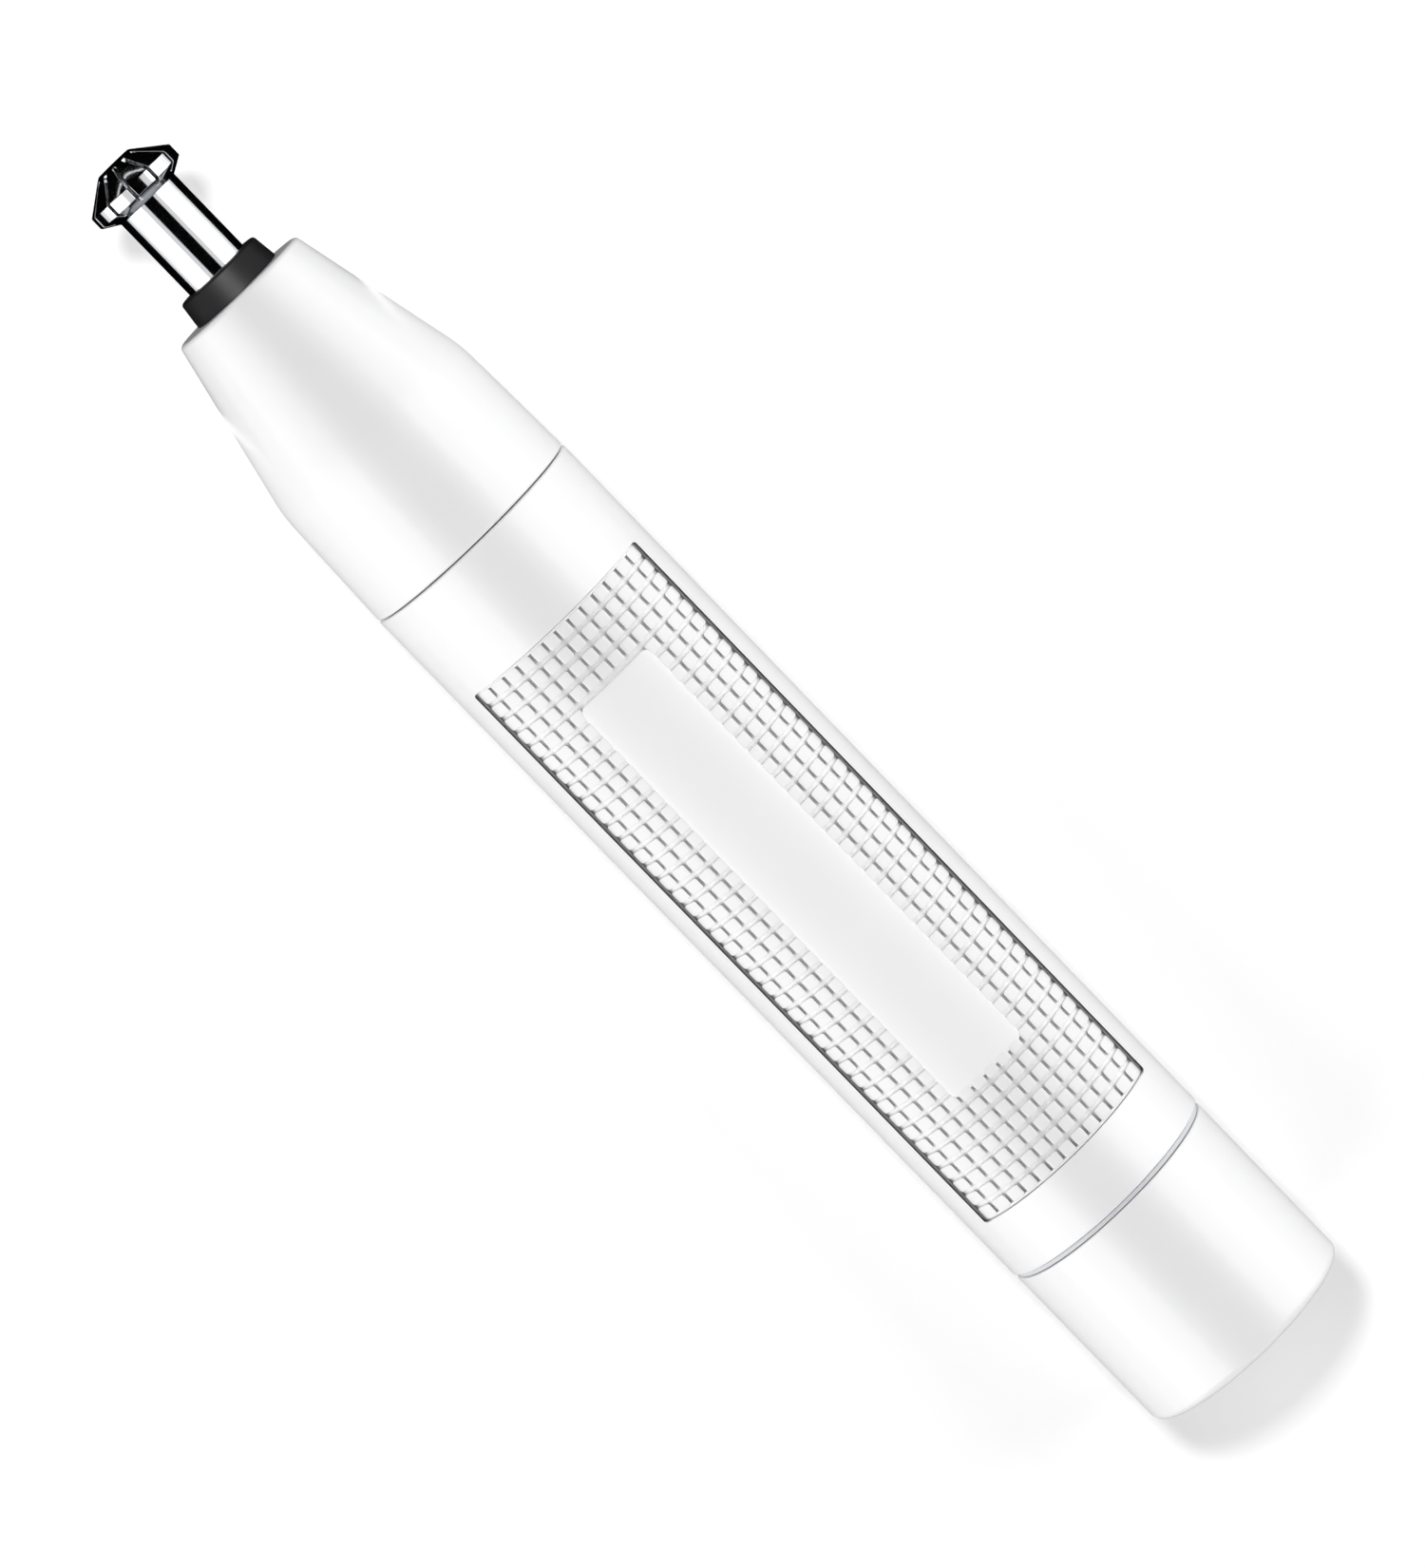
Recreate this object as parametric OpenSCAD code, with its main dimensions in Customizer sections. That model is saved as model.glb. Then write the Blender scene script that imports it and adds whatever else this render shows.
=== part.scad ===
// Battery nose hair trimmer: a round handle with a removable rotary cutter head and a twist-off tail cap.
// Every piece is drawn along +Z from the tip of the crown, and along() lays it down on its back.

/* [Cutter head] */
// Diameter of the crown's flat front face
crown_face_d = 3.44; // [2.8:0.02:4.2]
// Largest diameter of the crown
crown_d = 8.9; // [8:0.05:10]
// Length of the crown's front cone
crown_cone_len = 2.06; // [1.6:0.02:2.6]
// Length of the crown's straight rim
crown_rim_len = 1.12; // [0.8:0.02:1.6]
// Length of the bevel behind the rim
crown_bevel_len = 0.84; // [0.7:0.02:1.1]
// Wall of the crown
crown_wall = 0.42; // [0.3:0.02:0.5]
// Number of hair slots
slot_count = 12; // [8:1:16]
// Width of one hair slot
slot_w = 0.36; // [0.3:0.02:0.6]
// Outside diameter of the steel tube
tube_d = 6.0; // [5.2:0.05:6.4]
// Wall of the steel tube
tube_wall = 0.45; // [0.35:0.05:0.55]
// Length of tube seen between the crown and the black collar
tube_exposed = 8.13; // [6:0.1:12]
// Diameter of the spindle that turns the inner blade
spindle_d = 2.0; // [1.6:0.1:2.2]
// Number of vanes on the inner blade
vane_count = 4; // [2:1:6]

/* [Head base] */
// How far the black collar stands out from the tube, at its front
collar_front_step = 1.115; // [1:0.005:1.4]
// How far the black collar stands out from the tube, where it meets the nose
collar_back_step = 1.365; // [1.1:0.005:2]
// Length of the black collar
collar_len = 2.41; // [1.6:0.05:4]
// Wall of the plug around the steel tube
plug_wall = 0.8; // [0.75:0.05:1]
// Length of the plug that goes into the nose
plug_len = 12.84; // [12:0.1:15]

/* [Nose cone] */
// Diameter of the nose's front face
nose_face_d = 13.34; // [12.6:0.05:14.5]
// Length of the nose's cone
nose_cone_len = 16.08; // [15.6:0.1:22]
// Length behind the cone, as far as the front seam
nose_back_len = 11.43; // [9.5:0.1:16]
// Wall of the nose cone
nose_wall = 1.6; // [1.2:0.1:1.8]

/* [Barrel] */
// Wall of the barrel
barrel_wall = 1.5; // [1.4:0.1:2.5]
// Plain length between the front seam and the grip
grip_front_margin = 9.33; // [6:0.1:14]
// Plain length between the grip and the rear seam
grip_rear_margin = 5.6; // [4:0.1:10]
// Width of the grip panel, seen from above
grip_w = 18.28; // [14:0.1:19]
// Depth of the recess that the grip panel is set into
grip_recess = 0.9; // [0.7:0.05:1]
// Thickness of the grip panel's base
grip_base = 0.5; // [0.3:0.05:0.55]
// Width of the label plate, seen from above
label_w = 7.7; // [5:0.1:9]
// Plain grip between the panel's front edge and the label plate
label_front_margin = 6.45; // [4:0.05:12]
// Grip between the label plate and the panel's rear edge
label_rear_margin = 9.96; // [4:0.02:14]
// Corner radius of the label plate
label_corner = 0.7; // [0.3:0.05:1.5]
// Thickness of the label plate
label_thick = 0.34; // [0.2:0.02:0.36]

/* [Tail cap] */
// Length of the tail cap
cap_len = 17.0; // [14:0.1:19]
// Wall of the tail cap
cap_wall = 1.33; // [1.2:0.05:2]
// How much smaller in radius the tail cap is than the barrel
cap_step = 0.07; // [0.05:0.01:0.3]
// Thickness of the tail cap's flat end
cap_end = 2.0; // [1.5:0.1:3]
// How far the thin ring between the barrel and the tail cap is set in
seam_ring_step = 0.3; // [0.2:0.02:0.5]
// Width of the thin ring between the barrel and the tail cap
seam_ring_w = 0.5; // [0.4:0.05:1]
// Wall of the sleeve that carries the tail cap
sleeve_wall = 0.55; // [0.45:0.05:0.8]
// Length of the spigot that carries the sleeve
spigot_len = 6.5; // [5:0.1:9]

/* [Power] */
// Diameter of the battery cell
battery_d = 14.5; // [13.5:0.1:17.5]
// Length of the battery cell with its positive nub
battery_len = 50.5; // [42:0.5:62]
// Diameter of the motor can
motor_d = 15.5; // [13:0.1:15.6]
// Length of the motor can
motor_len = 25; // [20:0.5:32]
// Diameter of the motor shaft
shaft_d = 1.5; // [1:0.1:2]
// Free length for the leads behind the motor
wiring_room = 5.6; // [4.5:0.1:12]
// Length of the battery spring as fitted
spring_len = 6.06; // [5:0.1:9]
// Wall of the battery tube
battery_tube_wall = 0.9; // [0.9:0.1:1.5]

/* [Fits] */
// Radial gap where a fixed piece sits in another
press_gap = 0.02; // [0.01:0.01:0.05]
// Radial gap of a shaft in its bush
bearing_gap = 0.04; // [0.02:0.01:0.08]
// Radial gap of a sliding or twisting fit
slide_gap = 0.06; // [0.04:0.01:0.1]
// Gap between faces that part when a piece is taken off
seat_gap = 0.08; // [0.05:0.01:0.15]
// Gap between the inner blade and the crown
blade_gap = 0.12; // [0.08:0.01:0.2]
// Radial gap around the battery
battery_gap = 0.25; // [0.15:0.05:0.5]

/* [Hidden] */
$fn = 96;
cut = 1; // how far a cutting solid passes the face that it cuts

// radii across the battery, from the cell outwards
cell_r = battery_d / 2;
bay_r = cell_r + battery_gap;
tube_outer_r = bay_r + battery_tube_wall;
strip_room = 0.6;
nose_bore_r = motor_d / 2 + 0.35;
spigot_wall = 0.88;
// the battery or the motor, whichever needs more room
barrel_bore_r = max(tube_outer_r + strip_room, nose_bore_r + spigot_wall);
body_r = barrel_bore_r + barrel_wall;
rest_flat = 0.06;                   // depth of the flat under the handle that stops it rolling

// stations along the axis, measured from the tip
s_rim = crown_cone_len;
s_bevel = s_rim + crown_rim_len;
s_tube = s_bevel + crown_bevel_len;
s_collar = s_tube + tube_exposed;
s_nose = s_collar + collar_len;
s_knee = s_nose + nose_cone_len;
s_seam = s_knee + nose_back_len;
s_motor = s_seam - 2;
motor_cap_len = 3;
s_motor_cap = s_motor + motor_len;
s_motor_end = s_motor_cap + motor_cap_len;
bulkhead = 2.43;
s_bulkhead = s_motor_end + wiring_room;
s_contact = s_bulkhead + bulkhead;
contact_thick = 0.5;
s_battery = s_contact + contact_thick + seat_gap;
s_battery_end = s_battery + battery_len;
plate_thick = 0.4;
s_plate = s_battery_end + spring_len;
s_cap_floor = s_plate + plate_thick;
s_tail = s_cap_floor + cap_end;
s_cap = s_tail - cap_len;
s_rear = s_cap - seam_ring_w;
barrel_len = s_rear - s_seam;

// grip panel and label plate
s_grip = s_seam + grip_front_margin;
grip_len = barrel_len - grip_front_margin - grip_rear_margin;
grip_floor_r = body_r - grip_recess;
grip_top_r = grip_floor_r + grip_base;
grip_gap = 0.05;
s_label = s_grip + label_front_margin;
label_len = grip_len - label_front_margin - label_rear_margin;
label_top_r = grip_top_r + label_thick;

// cutter head
crown_r = crown_d / 2;
crown_face_r = crown_face_d / 2;
tube_r = tube_d / 2;
tube_bore_r = tube_r - tube_wall;
spindle_r = spindle_d / 2;
plug_r = tube_r + plug_wall;
collar_front_r = tube_r + collar_front_step;
collar_back_r = tube_r + collar_back_step;
s_plug_end = s_nose + plug_len;
tube_seat = 5.4;
s_tube_end = s_nose + tube_seat;
plug_bore_r = tube_bore_r + 0.05;
bush_len = 3;
s_front_bush = s_tube + 2;
s_rear_bush = s_plug_end - bush_len - 1;
s_clip = s_tube_end - 1.1;
clip_thick = 0.5;
seal_wire = 0.28;
s_head_seal = s_nose + 2.6;

// nose bore and the release ring behind it
boss_bore_r = plug_r + slide_gap;
boss_r = boss_bore_r + 1.14;
ring_len = 3;
ring_wall = 1.6;
s_ring = s_plug_end - ring_len + 0.2;
s_boss_end = s_ring - seat_gap;
flat_r = plug_r * 0.82; // half the distance across the plug's two flats
nose_knee_r = body_r - 0.335;
nose_back_r = body_r - 0.05;
nose_slope = (nose_knee_r - nose_face_d / 2) / nose_cone_len;
nose_front_wall = 2;
knee_blend = 1.5; // half the length of the soft blend from the cone to the straight

// dog coupling: two 40 degree jaws on each half leave room for the 45 degree turn of the head
dog_r = flat_r - 0.25;
jaw_inner_r = 1.35;
jaw_len = 1.5;
jaw_angle = 40;
s_dog = s_plug_end + 0.8;
s_jaws = s_dog + 3.7;
s_drive = s_jaws + jaw_len + 0.2;
drive_hub_len = 4;

// motor
can_wall = 0.5;
motor_r = motor_d / 2;
shaft_r = shaft_d / 2;
magnet_r = motor_r - can_wall - press_gap;
magnet_wall = 1.25;
armature_r = magnet_r - magnet_wall - 0.25;
s_core = s_motor + 5;
core_len = motor_len - 12;
s_commutator = s_core + core_len + 2;
commutator_r = 2.4;
commutator_len = 3;
terminal_y = 4.2;
s_cradle = s_ring + ring_len + 0.2;
cradle_plate = 1.5;
spigot_front_len = 5;

module along() {
    translate([-s_tail / 2, 0, body_r - rest_flat]) rotate([0, 90, 0]) rotate([0, 0, 180]) children();
}

// a ring of revolution from its half outline, given as [radius, station] points
module lathe(outline) {
    along() rotate_extrude() polygon(outline);
}

module ring(outer_r, inner_r, from, to) {
    lathe([[inner_r, from], [outer_r, from], [outer_r, to], [inner_r, to]]);
}

module rod(r, from, to) {
    along() translate([0, 0, from]) cylinder(r = r, h = to - from);
}

// points of a rounded edge about [r, s], from one angle to another
function edge(r, s, radius, from, to) =
    [for (i = [0:6]) let (a = from + (to - from) * i / 6) [r + radius * cos(a), s + radius * sin(a)]];

// a coil of round wire: base and top radius, wire radius, first and last station, number of turns
module coil(base_r, top_r, wire_r, from, to, turns) {
    sides = 8;
    steps = turns * 20;
    points = [for (i = [0:steps]) let (t = i / steps, a = 360 * turns * t, r = base_r + (top_r - base_r) * t)
        for (j = [0:sides - 1]) let (b = 360 * j / sides, w = r + wire_r * cos(b))
            [w * cos(a), w * sin(a), from + (to - from) * t + wire_r * sin(b)]];
    walls = [for (i = [0:steps - 1]) for (j = [0:sides - 1]) let (k = (j + 1) % sides)
        [i * sides + j, (i + 1) * sides + j, (i + 1) * sides + k, i * sides + k]];
    first = [for (j = [0:sides - 1]) j];
    last = [for (j = [sides - 1:-1:0]) steps * sides + j];
    along() polyhedron(points, concat([first], walls, [last]));
}

// a plan outline with round corners, drawn across Y and along the axis, and standing up from the axis
module plan(w, from, to, corner, height) {
    along() translate([0, 0, (from + to) / 2]) rotate([90, 0, 90]) linear_extrude(height) {
        square([w - 2 * corner, to - from], center = true);
        square([w, to - from - 2 * corner], center = true);
        for (x = [-1, 1], y = [-1, 1])
            translate([x * (w / 2 - corner), y * ((to - from) / 2 - corner)]) circle(corner);
    }
}

// ---- cutter head ----

crown_bevel_end_r = tube_r + 0.04;
cavity_r = crown_r - crown_wall;
s_cavity_front = crown_wall;
cavity_front_r = crown_face_r - 0.1;
s_cavity_rim = s_rim + 0.1;
s_cavity_back = s_bevel - 0.1;
s_cavity_end = s_tube - 0.6;

module crown() color("silver") difference() {
    lathe([[0, 0], [crown_face_r, 0], [crown_r - 0.08, s_rim - 0.06], [crown_r, s_rim + 0.04],
        [crown_r, s_bevel - 0.04], [crown_r - 0.08, s_bevel + 0.05], [crown_bevel_end_r, s_tube],
        [tube_r + press_gap, s_tube], [tube_r + press_gap, s_cavity_end], [cavity_r, s_cavity_back],
        [cavity_r, s_cavity_rim], [cavity_front_r, s_cavity_front], [0, s_cavity_front]]);
    for (i = [0:slot_count - 1]) along() rotate([0, 0, (i + 0.22) * 360 / slot_count])
        translate([crown_face_r + 0.55, -slot_w / 2, -cut]) cube([crown_r, slot_w, s_tube - 0.36 + cut]);
}

module cutter_tube() color("silver") ring(tube_r, tube_bore_r, s_cavity_end + 0.1, s_tube_end);

module head_base() color("#202022") difference() {
    lathe(concat([[tube_r + press_gap, s_collar]],
        edge(collar_front_r - 0.3, s_collar + 0.3, 0.3, -90, 0),
        [[collar_back_r, s_nose - seat_gap], [plug_r, s_nose - seat_gap],
        [plug_r, s_head_seal - seal_wire - 0.05], [plug_r - 2 * seal_wire, s_head_seal - seal_wire - 0.05],
        [plug_r - 2 * seal_wire, s_head_seal + seal_wire + 0.05], [plug_r, s_head_seal + seal_wire + 0.05],
        [plug_r, s_plug_end], [plug_bore_r, s_plug_end], [plug_bore_r, s_tube_end + press_gap],
        [tube_r + press_gap, s_tube_end + press_gap]]));
    for (side = [-1, 1]) along() translate([side * (flat_r + cut) - cut, -plug_r, s_ring - seat_gap])
        cube([2 * cut, 2 * plug_r, plug_len]);
}

module head_seal() color("#303030") along() rotate_extrude()
    translate([plug_r - seal_wire, s_head_seal]) circle(seal_wire);

module front_bush() color("#b08d57")
    ring(tube_bore_r - press_gap, spindle_r + bearing_gap, s_front_bush, s_front_bush + bush_len);

module rear_bush() color("#b08d57")
    ring(plug_bore_r - press_gap, spindle_r + bearing_gap, s_rear_bush, s_rear_bush + bush_len);

// ---- inner cutter ----

hub_r = tube_bore_r - 0.5;
s_blade = s_cavity_front + blade_gap;
s_blade_end = s_front_bush - 1;
vane_thick = 0.5;

module inner_blade() color("#c8c8cc") difference() {
    union() {
        intersection() {
            lathe([[0, s_blade], [cavity_front_r - blade_gap, s_blade], [cavity_r - blade_gap, s_cavity_rim + blade_gap],
                [cavity_r - blade_gap, s_cavity_back - blade_gap], [hub_r, s_cavity_end - blade_gap],
                [0, s_cavity_end - blade_gap]]);
            for (i = [0:vane_count - 1]) along() rotate([0, 0, 360 * (i + 0.5) / vane_count])
                translate([0, -vane_thick / 2, 0]) cube([crown_r, vane_thick, s_tube]);
        }
        rod(cavity_front_r - blade_gap, s_blade, s_cavity_rim + blade_gap);
        rod(hub_r, s_cavity_rim, s_blade_end);
    }
    rod(spindle_r + press_gap, s_blade + 0.8, s_blade_end + cut);
}

module spindle() color("#a9abb0") difference() {
    rod(spindle_r, s_blade + 0.8 + press_gap, s_jaws);
    ring(spindle_r + cut, spindle_r - 0.25, s_clip, s_clip + clip_thick);
}

module spindle_clip() color("#8a8c90")
    ring(spindle_r + 0.9, spindle_r - 0.25 + press_gap, s_clip + press_gap, s_clip + clip_thick - press_gap);

module spindle_spring() color("#b9bbc0")
    coil(spindle_r + 0.45, spindle_r + 0.45, 0.2, s_clip + clip_thick + 0.2, s_rear_bush - 0.25, 4);

// two jaws standing on one half of the coupling, turned to a mean angle
module jaws(mean, from, to) {
    for (i = [0, 1]) along() rotate([0, 0, mean + 180 * i - jaw_angle / 2]) rotate_extrude(angle = jaw_angle)
        polygon([[jaw_inner_r, from], [dog_r, from], [dog_r, to], [jaw_inner_r, to]]);
}

module driven_dog() color("#e8e8e8") union() {
    ring(dog_r, spindle_r + press_gap, s_dog, s_jaws);
    jaws(0, s_jaws - 0.3, s_jaws + jaw_len);
}

module release_ring() color("#d0d0d0") difference() {
    ring(plug_r + ring_wall, flat_r + slide_gap, s_ring, s_ring + ring_len);
    intersection() {
        rod(plug_r + slide_gap, s_ring - cut, s_ring + ring_len + cut);
        along() translate([-flat_r - slide_gap, -plug_r - cut, s_ring - cut])
            cube([2 * (flat_r + slide_gap), 2 * (plug_r + cut), ring_len + 2 * cut]);
    }
}

// ---- motor ----

module drive_dog() color("#e8e8e8") union() {
    ring(dog_r, shaft_r + press_gap, s_drive, s_drive + drive_hub_len);
    jaws(90, s_drive - jaw_len, s_drive + 0.3);
}

module motor_shaft() color("#a9abb0") rod(shaft_r, s_drive + 0.4, s_motor_end - 0.8);

module armature() color("#6d7076") difference() {
    union() {
        rod(2.1, s_core, s_core + core_len);
        for (i = [0:2]) along() rotate([0, 0, 120 * i]) {
            translate([1.5, -1, s_core]) cube([armature_r - 2, 2, core_len]);
            rotate([0, 0, -44]) rotate_extrude(angle = 88) polygon([[armature_r - 0.9, s_core],
                [armature_r, s_core], [armature_r, s_core + core_len], [armature_r - 0.9, s_core + core_len]]);
        }
    }
    rod(shaft_r + press_gap, s_core - cut, s_core + core_len + cut);
}

module armature_coils() color("#b4662a") for (i = [0:2]) difference() {
    intersection() {
        along() rotate([0, 0, 120 * i]) translate([2.3, -2.3, s_core - 1.2])
            cube([armature_r, 4.6, core_len + 2.4]);
        rod(armature_r - 1, s_core - 2, s_core + core_len + 2);
    }
    along() rotate([0, 0, 120 * i]) translate([0, -1 - press_gap, s_core - press_gap])
        cube([armature_r, 2 + 2 * press_gap, core_len + 2 * press_gap]);
}

module commutator() color("#b4762a")
    ring(commutator_r, shaft_r + press_gap, s_commutator, s_commutator + commutator_len);

module motor_can() color("#b5b8bc") difference() {
    union() {
        rod(motor_r, s_motor, s_motor_cap);
        rod(3, s_motor - 1.4, s_motor + 0.1);
    }
    rod(motor_r - can_wall, s_motor + can_wall, s_motor_cap + cut);
    rod(2.2 + press_gap, s_motor - 2, s_motor + 1);
}

module motor_front_bush() color("#b08d57") ring(2.2, shaft_r + bearing_gap, s_motor - 1.4, s_motor + 1.1);

module motor_rear_bush() color("#b08d57") ring(1.9, shaft_r + bearing_gap, s_motor_cap, s_motor_end - 0.8);

module motor_magnets() color("#3a3c40") for (side = [0, 180]) along() rotate([0, 0, side - 60])
    rotate_extrude(angle = 120) polygon([[magnet_r - magnet_wall, s_core - 1], [magnet_r, s_core - 1],
        [magnet_r, s_core + core_len + 1], [magnet_r - magnet_wall, s_core + core_len + 1]]);

module motor_end_cap() color("#f2f2ee") difference() {
    union() {
        rod(motor_r - 0.15, s_motor_cap + press_gap, s_motor_end);
        ring(motor_r - can_wall - press_gap, motor_r - 1.7, s_motor_cap - 2, s_motor_cap + 0.5);
    }
    rod(1.9 + press_gap, s_motor_cap - cut, s_motor_end - 0.8 + press_gap);
    for (side = [-1, 1]) along() translate([-1.05, side * terminal_y - 0.25 - press_gap, s_motor_cap - cut])
        cube([2.1, 0.5 + 2 * press_gap, motor_cap_len + 2 * cut]);
}

module motor_brushes() color("#c9973f") for (side = [-1, 1]) along()
    translate([-1, side * (commutator_r + 0.15 + 0.15) - 0.15, s_commutator + 0.2])
        cube([2, 0.3, s_motor_cap - s_commutator - 0.2]);

module motor_terminals() color("#d0b060") for (side = [-1, 1]) along()
    translate([-1, side * terminal_y - 0.25, s_motor_cap - 0.6]) cube([2, 0.5, motor_cap_len + 0.6 + 2.4]);

// ---- handle ----

module nose_cone() color("white") {
    face_r = nose_face_d / 2;
    tilt = -atan(nose_slope);
    edge_r = 0.5;
    front_in_r = face_r + nose_slope * nose_front_wall - nose_wall / cos(tilt);
    s_in_knee = s_nose + nose_front_wall + (nose_bore_r - front_in_r) / nose_slope;
    difference() {
        lathe(concat([[boss_bore_r, s_nose]],
        edge(face_r - edge_r, s_nose + edge_r, edge_r, -90, tilt),
        [for (i = [-6:6]) let (t = i / 6)
            [nose_knee_r - nose_slope * knee_blend * pow((1 - t) / 2, 2), s_knee + knee_blend * t]],
        edge(nose_back_r - 0.2, s_seam - 0.26, 0.2, 0, 90),
        [[barrel_bore_r - press_gap, s_seam - 0.06], [barrel_bore_r - press_gap, s_seam + spigot_front_len],
        [nose_bore_r, s_seam + spigot_front_len], [nose_bore_r, s_in_knee],
        [max(front_in_r, boss_r + 0.1), s_nose + nose_front_wall], [boss_r, s_nose + nose_front_wall],
        [boss_r, s_boss_end], [boss_bore_r, s_boss_end]]));
        rest_cut();
    }
}

// the flat lies along the lowest line of the nose cone and the barrel
module rest_cut() along() translate([-body_r - 1, -4, s_nose]) cube([1 + rest_flat, 8, s_rear - s_nose + 1]);

module barrel() color("white") difference() {
    lathe(concat([[barrel_bore_r, s_seam + 0.06]],
        edge(body_r - 0.2, s_seam + 0.26, 0.2, -90, 0),
        edge(body_r - 0.15, s_rear - 0.15, 0.15, 0, 90),
        [[barrel_bore_r, s_rear]]));
    difference() {
        plan(grip_w, s_grip, s_grip + grip_len, 0.3, body_r + cut);
        rod(grip_floor_r, s_seam, s_rear);
    }
    rest_cut();
}

module grip_panel() color("#e4e4e6") intersection() {
    ring(grip_top_r, grip_floor_r + press_gap, s_grip, s_grip + grip_len);
    plan(grip_w - 2 * grip_gap, s_grip + grip_gap, s_grip + grip_len - grip_gap, 0.3, body_r);
}

module label_plate() color("#f3f3f4") intersection() {
    ring(label_top_r, grip_top_r + press_gap, s_label, s_label + label_len);
    plan(label_w, s_label, s_label + label_len, label_corner, body_r);
}

module motor_cradle() color("#b8bcc0") lathe([[dog_r + 0.35, s_cradle], [motor_r - 0.9, s_cradle],
    [motor_r + press_gap + 0.15, s_cradle + 3], [nose_bore_r - press_gap, s_cradle + 3.2],
    [nose_bore_r - press_gap, s_seam + spigot_front_len + press_gap],
    [barrel_bore_r - press_gap, s_seam + spigot_front_len + press_gap],
    [barrel_bore_r - press_gap, s_seam + spigot_front_len + 2], [motor_r + press_gap, s_seam + spigot_front_len + 2],
    [motor_r + press_gap, s_motor - press_gap], [motor_r - 1.4, s_motor - press_gap],
    [motor_r - 1.4, s_cradle + cradle_plate + 1.5], [motor_r - 2.2, s_cradle + cradle_plate],
    [dog_r + 0.35, s_cradle + cradle_plate]]);

lead_r = 0.55;
s_lead = s_motor_end + 2.45;

module red_lead() color("#b02020") along() translate([0, terminal_y, s_lead])
    cylinder(r = lead_r, h = s_contact - s_lead - press_gap);

module black_lead() color("#202020") along() {
    drop = barrel_bore_r - 0.72 - lead_r;
    s_turn = s_bulkhead - 1.2;
    translate([0, -terminal_y, s_lead]) cylinder(r = lead_r, h = s_turn - s_lead);
    translate([0, -terminal_y, s_turn]) sphere(lead_r);
    translate([0, -terminal_y, s_turn]) rotate([0, -90, 0]) cylinder(r = lead_r, h = drop - 1.6);
    translate([1.6 - drop, -terminal_y, s_turn]) sphere(lead_r);
    translate([1.6 - drop, -terminal_y, s_turn]) rotate([-atan2(terminal_y - 1, 0.001), 0, 0])
        cylinder(r = lead_r, h = terminal_y - 1);
}

strip_w = 3;
strip_thick = 0.4;

// the strip lies along the lowest line of the barrel's bore
module contact_strip() color("#c9973f") intersection() {
    ring(barrel_bore_r - 0.08, barrel_bore_r - 0.08 - strip_thick, s_bulkhead - 2.4, s_rear - 0.05);
    along() translate([-barrel_bore_r, -strip_w / 2, s_bulkhead - 2.4]) cube([body_r, strip_w, barrel_len]);
}

module battery_tube() color("#d8dade") difference() {
    union() {
        ring(tube_outer_r, bay_r, s_bulkhead, s_rear + spigot_len);
        rod(bay_r + 0.1, s_bulkhead, s_contact);
        for (s = [s_bulkhead, s_rear - 2]) ring(barrel_bore_r - press_gap, bay_r + 0.1, s, s + 2);
    }
    along() translate([0, terminal_y, s_bulkhead - cut]) cylinder(r = lead_r + 0.1, h = bulkhead + 2 * cut);
    along() translate([-barrel_bore_r - cut, -strip_w / 2 - 0.1, s_bulkhead - cut])
        cube([cut + barrel_bore_r - tube_outer_r + 0.02, strip_w + 0.2, s_rear - s_bulkhead + 2 * cut]);
    ring(tube_outer_r + cut, tube_outer_r - 0.42, s_rear + 3.3, s_rear + 3.9);
}

module positive_contact() color("#c9973f") rod(5.2, s_contact + press_gap, s_contact + contact_thick);

module tail_seal() color("#303030") along() rotate_extrude()
    translate([tube_outer_r - 0.19, s_rear + 3.6]) circle(0.22);

// ---- tail ----

sleeve_bore_r = tube_outer_r + slide_gap;
sleeve_r = sleeve_bore_r + sleeve_wall;
cap_bore_r = sleeve_r + slide_gap + 0.08;
cap_r = body_r - cap_step;
seam_ring_r = body_r - seam_ring_step;
s_switch = s_cap + 2.2;

module switch_ring() color("#d4d4d8") lathe([[sleeve_bore_r, s_rear + seat_gap],
    [seam_ring_r, s_rear + seat_gap], [seam_ring_r, s_cap - seat_gap], [sleeve_r, s_cap - seat_gap],
    [sleeve_r, s_switch - 0.02], [sleeve_r - 0.2, s_switch - 0.02], [sleeve_r - 0.2, s_switch + 2.02],
    [sleeve_r, s_switch + 2.02], [sleeve_r, s_rear + spigot_len - 0.2], [sleeve_bore_r, s_rear + spigot_len - 0.2]]);

module switch_contact() color("#c9973f") ring(sleeve_r + 0.02, sleeve_r - 0.18, s_switch, s_switch + 2);

module tail_cap() color("white") difference() {
    lathe(concat([[cap_bore_r, s_cap]],
        edge(cap_r - 0.15, s_cap + 0.15, 0.15, -90, 0),
        edge(cap_r - 0.8, s_tail - 0.8, 0.8, 0, 90),
        [[0, s_tail], [0, s_cap_floor], [cap_bore_r, s_cap_floor]]));
    along() translate([-cap_bore_r - 0.45, -strip_w / 2 - 0.1, s_switch - 0.2])
        cube([1, strip_w + 0.2, s_cap_floor - s_switch + 0.2]);
}

module cap_contact() color("#c9973f") intersection() {
    ring(cap_bore_r + 0.4, cap_bore_r, s_switch, s_cap_floor - press_gap);
    along() translate([-body_r, -strip_w / 2, s_switch]) cube([body_r, strip_w, cap_len]);
}

module spring_plate() color("#c9973f")
    rod(cap_bore_r - press_gap, s_plate, s_cap_floor - press_gap);

module battery_spring() color("#b9bbc0") coil(2.6, 4.6, 0.38, s_battery_end + 0.5, s_plate - 0.4, 4);

module battery_cell() color("#3f7a4a") ring(cell_r, 0, s_battery + 1, s_battery_end - 0.3);

module battery_nub() color("#c8c8cc") lathe([[0, s_battery], [2.45, s_battery], [2.75, s_battery + 0.3],
    [2.75, s_battery + 1 - press_gap], [0, s_battery + 1 - press_gap]]);

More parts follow.
